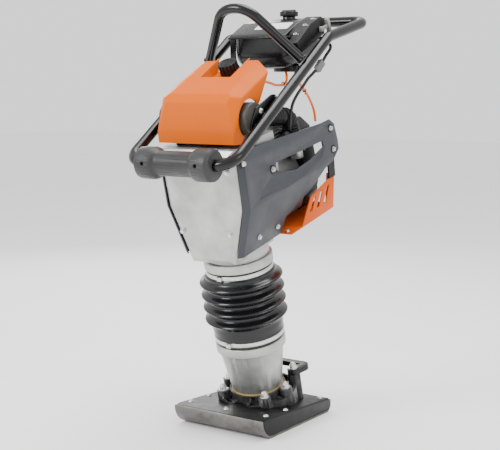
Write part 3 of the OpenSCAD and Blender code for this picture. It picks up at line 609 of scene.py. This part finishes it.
# ---- engine guard ----------------------------------------------------------------
# Bent steel plate painted bright orange that wraps under and behind the engine,
# with three slanted slots in each cheek and zinc bolts through its rear flange.
guard_orange = surface("guard_orange", (0.66, 0.092, 0.0), (0.58, 0.078, 0.0), (0.34, 0.44), patch=8,
                       grain=700, bump=0.08, gleam=0.25)
eased("engine_guard", guard_orange, 0.0009, 2)
eased("guard_bolts", zinc, 0.0005)
straps = []
for side in (1, -1):
    strap_line = [(0.2954, 0.5885), (0.3268, 0.5875), (0.3346, 0.6686), (0.2994, 0.6686)]
    straps.append(outline_prism("guard_straps", strap_line, "x", side * 0.1205, side * 0.1247))
    place(straps[-1], LEG)
wear(joined(straps, "guard_straps"), black_plastic, "machine")

# ---- handle and its mounts -------------------------------------------------------
# One loop of gloss black tube hangs on rubber buffers. The lifting arch is welded
# between its sides, and each mount plate is bolted to its buffer.
tube_black = surface("tube_black", (0.003, 0.003, 0.004), (0.0015, 0.0015, 0.002), (0.15, 0.26), patch=7,
                     grain=260, bump=0.06, gleam=0.4)


def pipe(name, corners, radius, bend, closed=False):
    """A tube bent to one radius at each of its corners, given in millimetres."""
    route = []
    for k, corner in enumerate(corners):
        here = Vector(corner)
        if not closed and k in (0, len(corners) - 1):
            route.append(here)
            continue
        back = (Vector(corners[k - 1]) - here).normalized()
        onward = (Vector(corners[(k + 1) % len(corners)]) - here).normalized()
        half = back.angle(onward) / 2
        centre = here + (back + onward).normalized() * bend / math.sin(half)
        start = here + back * bend / math.tan(half) - centre
        end = here + onward * bend / math.tan(half) - centre
        turn = start.angle(end)
        steps = max(4, round(math.degrees(turn) / 4))
        for i in range(steps + 1):
            route.append(centre + (start * math.sin((1 - i / steps) * turn)
                                   + end * math.sin(i / steps * turn)) / math.sin(turn))
    bpy.ops.object.select_all(action="DESELECT")
    line = bpy.data.curves.new(name, "CURVE")
    line.dimensions = "3D"
    line.bevel_depth = radius / 1000
    line.bevel_resolution = 10
    line.use_fill_caps = not closed
    run = line.splines.new("POLY")
    run.points.add(len(route) - 1)
    for point, spot in zip(run.points, route):
        point.co = (*(spot / 1000), 1)
    run.use_cyclic_u = closed
    piece = bpy.data.objects.new(name, line)
    bpy.context.collection.objects.link(piece)
    piece.select_set(True)
    bpy.context.view_layer.objects.active = piece
    bpy.ops.object.convert(target="MESH")
    bpy.ops.object.shade_smooth_by_angle(angle=math.radians(50))
    return bpy.context.object


loop = pipe("handle_tube", [(158, -325.7, 705.9), (158, 109, 1019), (158, 320, 1070), (-158, 320, 1070),
                            (-158, 109, 1019), (-158, -325.7, 705.9)], 14, 46, closed=True)
wear(loop, tube_black, "handle", ("handle_frame",))
arch = pipe("arch_tube", [(147, 0.7, 957.2), (39.4, -93.9, 1086), (-39.4, -93.9, 1086),
                          (-147, 0.7, 957.2)], 13, 68)
wear(arch, tube_black, "handle", ("lifting_arch",))
beads = []
for side in (1, -1):
    bpy.ops.object.select_all(action="DESELECT")
    bpy.ops.mesh.primitive_torus_add(major_radius=0.0138, minor_radius=0.0022, major_segments=48,
                                     minor_segments=10)
    beads.append(bpy.context.object)
    place(beads[-1], Matrix.Translation((side * 0.1445, -0.0015, 0.9602))
          @ Vector((side * -113.6, -99.9, 136)).to_track_quat("Z", "Y").to_matrix().to_4x4())
arch_welds = joined(beads, "arch_welds")
bpy.ops.object.shade_smooth()
wear(arch_welds, tube_black, "handle")
eased("mount_plates", tube_black, 0.0012, 2)
eased("mount_bolts", zinc, 0.0005)
buffer_rubber = surface("buffer_rubber", (0.040, 0.035, 0.028), (0.024, 0.021, 0.018), (0.5, 0.65),
                        patch=26, grain=500, bump=0.3)
eased("rubber_buffers", buffer_rubber, 0.003, 3)

# ---- roller ----------------------------------------------------------------------
# A moulded plastic roller that turns on the handle's front tube, fat at both ends
# and waisted between, with drain holes through each end.
roller_grey = surface("roller_grey", (0.034, 0.034, 0.035), (0.022, 0.022, 0.023), (0.36, 0.50), patch=16,
                      grain=420, bump=0.22, worn=(0.07, 0.07, 0.07), gleam=0.35)
eased("roller", roller_grey, 0.0012, 2, sharp=50)

# ---- fuel tank -------------------------------------------------------------------
# Two pressed halves welded along a flange, painted black, hung between the tubes,
# with a screw cap at the rear and a small sump for the tap underneath.
tank_black = surface("tank_black", (0.004, 0.004, 0.005), (0.002, 0.002, 0.003), (0.20, 0.32), patch=6,
                     grain=900, bump=0.05, gleam=0.4)


def block(name, low, high):
    """A box between two corners, left in edit mode with nothing selected."""
    bpy.ops.object.select_all(action="DESELECT")
    bpy.ops.mesh.primitive_cube_add(size=1, location=[(a + b) / 2 for a, b in zip(low, high)])
    piece = bpy.context.object
    piece.name = name
    piece.scale = [b - a for a, b in zip(low, high)]
    bpy.ops.object.transform_apply(location=True, rotation=True, scale=True)
    bpy.ops.object.mode_set(mode="EDIT")
    bpy.ops.mesh.select_mode(type="EDGE")
    bpy.ops.mesh.select_all(action="DESELECT")
    return piece


def round_off(piece, width, steps, keep, clamp=True):
    """Rounds those edges of the edited box that the test on their two ends keeps."""
    bpy.ops.object.mode_set(mode="OBJECT")
    for edge in piece.data.edges:
        edge.select = keep(*[piece.data.vertices[v].co for v in edge.vertices])
    bpy.ops.object.mode_set(mode="EDIT")
    bpy.ops.mesh.bevel(offset=width, segments=steps, affect="EDGES", clamp_overlap=clamp)
    bpy.ops.object.mode_set(mode="OBJECT")
    bpy.ops.object.shade_smooth_by_angle(angle=math.radians(40))


belly = block("fuel_tank_shell", (-0.095, 0.0215, 0.937), (0.095, 0.199, 1.0165))
cut_away((0, 0.090, 0.937), (0, 0.220, -0.9755))
bpy.ops.mesh.select_all(action="DESELECT")
round_off(belly, 0.045, 12, lambda a, b: min(a.z, b.z) < 1.016
          and not (abs(a.y - 0.09) < 0.002 and abs(b.y - 0.09) < 0.002), clamp=False)
lid = block("tank_lid", (-0.096, 0.020, 1.0195), (0.082, 0.201, 1.078))
for spot, outward in (((0, 0.020, 1.0215), (0, -0.6, 0.8)), ((0, 0.040, 1.034), (0, -0.4763, 0.8793)),
                      ((0, 0.088, 1.060), (0, -0.2095, 0.9778)), ((0, 0.144, 1.072), (0, 0.1146, 0.9934)),
                      ((0, 0.201, 1.034), (0, 0.988, 0.1544)), ((-0.096, 0, 1.060), (-0.781, 0, 0.6247)),
                      ((0.082, 0, 1.060), (0.743, 0, 0.669))):
    cut_away(spot, outward)
bpy.ops.mesh.select_all(action="DESELECT")
round_off(lid, 0.005, 4, lambda a, b: max(a.z, b.z) > 1.020)
flange = block("tank_flange", (-0.098, 0.016, 1.0145), (0.098, 0.199, 1.0200))
round_off(flange, 0.0018, 3, lambda a, b: True)
for name, radius, low, high, spot, squash in (("tank_neck", 0.018, 1.055, 1.080, (0, 0.166), 1),
                                              ("tank_sump", 0.040, 0.929, 0.946, (0.046, 0.086), 0.6)):
    bpy.ops.object.select_all(action="DESELECT")
    bpy.ops.mesh.primitive_cylinder_add(vertices=64, radius=radius, depth=high - low,
                                        location=(*spot, (low + high) / 2))
    part = bpy.context.object
    part.name = name
    part.scale = (1, squash, 1)
    bpy.ops.object.transform_apply(location=True, rotation=True, scale=True)
    rounding = part.modifiers.new("rounding", "BEVEL")
    rounding.width = 0.003
    rounding.segments = 3
    rounding.limit_method = "ANGLE"
    rounding.angle_limit = math.radians(40)
    bpy.ops.object.modifier_apply(modifier="rounding")
    bpy.ops.object.shade_smooth_by_angle(angle=math.radians(40))
strap_line = [(0.0180, 1.0150)] + [(0.0595 + 0.0415 * math.cos(math.radians(a)),
                                    0.9750 + 0.0415 * math.sin(math.radians(a)))
                                   for a in range(180, 271, 10)]
strap_line += [(0.0595 + 0.0378 * math.cos(math.radians(a)), 0.9750 + 0.0378 * math.sin(math.radians(a)))
               for a in range(270, 179, -10)] + [(0.0217, 1.0150)]
outline_prism("tank_strap", strap_line, "x", -0.0905, -0.0735)
tank_parts = [belly] + [bpy.data.objects[part] for part in
                        ("tank_lid", "tank_flange", "tank_neck", "tank_sump", "tank_strap")]
wear(joined(tank_parts, "fuel_tank_shell"), tank_black, "handle", ("fuel_tank",))
# A thin white plate on the lid's sloping face is a painted reflection: it stands for a glossy white
# reflection on the lid.
bpy.ops.object.select_all(action="DESELECT")
bpy.ops.mesh.primitive_plane_add(size=1, location=(0, 0, 0))
lid_reflection = bpy.context.object
lid_reflection.name = "tank_lid_reflection"
lid_reflection.scale = (0.104, 0.037, 1)
bpy.ops.object.transform_apply(location=True, rotation=True, scale=True)
bpy.ops.object.mode_set(mode="EDIT")
bpy.ops.mesh.select_all(action="SELECT")
bpy.ops.mesh.bevel(offset=0.004, segments=4, affect="VERTICES")
bpy.ops.mesh.select_all(action="SELECT")
bpy.ops.mesh.extrude_region_move(TRANSFORM_OT_translate={"value": (0, 0, 0.0004)})
bpy.ops.mesh.select_all(action="SELECT")
bpy.ops.mesh.normals_make_consistent(inside=False)
bpy.ops.object.mode_set(mode="OBJECT")
place(lid_reflection, Matrix.Translation((0.016, 0.066, 1.0486)) @ Matrix.Rotation(math.radians(28.45), 4, "X"))
# White that serves as print for the throttle marks and as the painted reflection on the tank lid.
print_and_reflection_white = surface("print_and_reflection_white", (0.80, 0.80, 0.80), (0.72, 0.73, 0.74), (0.35, 0.45), patch=40,
                      grain=900, bump=0.03)
wear(lid_reflection, print_and_reflection_white, "handle")
eased("fuel_cap", knob_black, 0.002, 3)

# ---- throttle --------------------------------------------------------------------
# A moulded black housing beside the tank carries a light grey lever on a short
# pin, with three plain ring-and-dash marks on its sloping face.
eased("throttle_housing", black_plastic, 0.004, 3)
lever_grey = surface("lever_grey", (0.30, 0.30, 0.28), (0.24, 0.24, 0.225), (0.34, 0.46), patch=50,
                     grain=900, bump=0.12)
eased("throttle_lever", lever_grey, 0.0012, 2)
marks = []
for spot, slope in (((0.1026, 0.0343, 1.0251), 37.4), ((0.1120, 0.0659, 1.0492), 37.4),
                    ((0.1130, 0.1025, 1.0668), 23.6)):
    lie = Matrix.Translation(spot) @ Matrix.Rotation(math.radians(slope), 4, "X")
    bpy.ops.object.select_all(action="DESELECT")
    bpy.ops.mesh.primitive_torus_add(major_radius=0.0038, minor_radius=0.0007, major_segments=32,
                                     minor_segments=8)
    marks.append(bpy.context.object)
    place(marks[-1], lie)
    bpy.ops.mesh.primitive_cylinder_add(vertices=24, radius=0.0007, depth=0.006)
    marks.append(bpy.context.object)
    place(marks[-1], lie @ Matrix.Translation((0.0095, -0.002, 0))
          @ Matrix.Rotation(math.radians(90), 4, "Y"))
throttle_marks = joined(marks, "throttle_marks")
bpy.ops.object.shade_smooth_by_angle(angle=math.radians(40))
wear(throttle_marks, print_and_reflection_white, "handle")

# ---- fuel lines and throttle cable -----------------------------------------------
# Two translucent orange fuel lines drop from the tank to the engine. The black
# throttle cable is clipped down the inside of the left tube.
fuel_line = surface("fuel_line", (0.92, 0.17, 0.0), (0.82, 0.13, 0.0), (0.30, 0.40), patch=60,
                    grain=600, bump=0.05, gleam=0.2)


def hose(name, route, radius):
    """A round hose that runs smoothly through its points, given in millimetres."""
    bpy.ops.object.select_all(action="DESELECT")
    line = bpy.data.curves.new(name, "CURVE")
    line.dimensions = "3D"
    line.bevel_depth = radius
    line.bevel_resolution = 6
    line.resolution_u = 10
    line.use_fill_caps = True
    run = line.splines.new("BEZIER")
    run.bezier_points.add(len(route) - 1)
    for point, spot in zip(run.bezier_points, route):
        point.co = [c / 1000 for c in spot]
        point.handle_left_type = point.handle_right_type = "AUTO"
    piece = bpy.data.objects.new(name, line)
    bpy.context.collection.objects.link(piece)
    piece.select_set(True)
    bpy.context.view_layer.objects.active = piece
    bpy.ops.object.convert(target="MESH")
    bpy.ops.object.shade_smooth_by_angle(angle=math.radians(60))
    return bpy.context.object


front_line = hose("front_fuel_line", [(40, 86, 938), (46, 84, 915), (50, 70, 899), (52, 30, 894),
                                      (60, -20, 900), (66, -62, 905)], 0.0035)
wear(front_line, fuel_line, "handle", ("fuel_hoses",))
rear_line = hose("rear_fuel_line", [(62, 96, 938), (66, 110, 905), (60, 150, 882), (52, 190, 858),
                                    (46, 226, 822), (44, 236, 796)], 0.0035)
wear(rear_line, fuel_line, "handle", ("fuel_hoses",))
cable = hose("throttle_cable", [(120, 126, 1020.5), (139, 137, 1006), (154, 128, 994), (152, 108, 971),
                                (146, 85, 943), (139, 64, 924), (137, 44, 911), (137, 23, 894),
                                (136, -8, 869), (132, -23, 844), (124, -19, 812), (114, -7, 777)], 0.004)
wear(cable, hose_rubber, "handle")
ties = []
for spot, along in (((50.3, 60, 897.3), (0.1, -1, -0.1)), ((59, 152, 880.6), (-0.15, 0.84, -0.5))):
    bpy.ops.object.select_all(action="DESELECT")
    bpy.ops.mesh.primitive_torus_add(major_radius=0.0044, minor_radius=0.0013, major_segments=32,
                                     minor_segments=8)
    ties.append(bpy.context.object)
    place(ties[-1], Matrix.Translation([c / 1000 for c in spot])
          @ Vector(along).to_track_quat("Z", "Y").to_matrix().to_4x4())
    bpy.ops.mesh.primitive_cylinder_add(vertices=12, radius=0.0011, depth=0.010)
    ties.append(bpy.context.object)
    place(ties[-1], Matrix.Translation([(spot[0] + 3) / 1000, spot[1] / 1000, (spot[2] - 7) / 1000]))
line_ties = joined(ties, "line_ties")
bpy.ops.object.shade_smooth_by_angle(angle=math.radians(50))
wear(line_ties, tie_rubber_and_recess_shade, "handle")

# ---- cable connector -------------------------------------------------------------
# A grey two-part plug joins the throttle cable to the engine's half. It sits just
# under the left tube and is clipped to it.
bpy.ops.object.select_all(action="DESELECT")
bpy.ops.mesh.primitive_cube_add(size=1)
plug = bpy.context.object
plug.name = "cable_connector"
plug.scale = (0.013, 0.019, 0.028)
bpy.ops.object.transform_apply(location=True, rotation=True, scale=True)
bpy.ops.object.mode_set(mode="EDIT")
bpy.ops.mesh.select_mode(type="FACE")
bpy.ops.mesh.select_all(action="DESELECT")
bpy.ops.object.mode_set(mode="OBJECT")
for face in plug.data.polygons:
    face.select = abs(face.normal.z) > 0.9
bpy.ops.object.mode_set(mode="EDIT")
bpy.ops.mesh.inset(thickness=0.0025, depth=0.0, use_individual=True)
bpy.ops.mesh.extrude_region_shrink_fatten(TRANSFORM_OT_shrink_fatten={"value": 0.004})
bpy.ops.mesh.select_all(action="DESELECT")
bpy.ops.object.mode_set(mode="OBJECT")
rounding = plug.modifiers.new("rounding", "BEVEL")
rounding.width = 0.0011
rounding.segments = 3
rounding.limit_method = "ANGLE"
rounding.angle_limit = math.radians(40)
bpy.ops.object.modifier_apply(modifier="rounding")
bpy.ops.object.shade_smooth_by_angle(angle=math.radians(40))
place(plug, Matrix.Translation((0.146, 0.086, 0.944))
      @ Vector((0.15, 0.62, 0.77)).to_track_quat("Z", "Y").to_matrix().to_4x4())
plug_grey = surface("plug_grey", (0.16, 0.17, 0.16), (0.12, 0.13, 0.12), (0.4, 0.5), patch=60, grain=900,
                    bump=0.1)
wear(plug, plug_grey, "handle")

low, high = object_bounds()
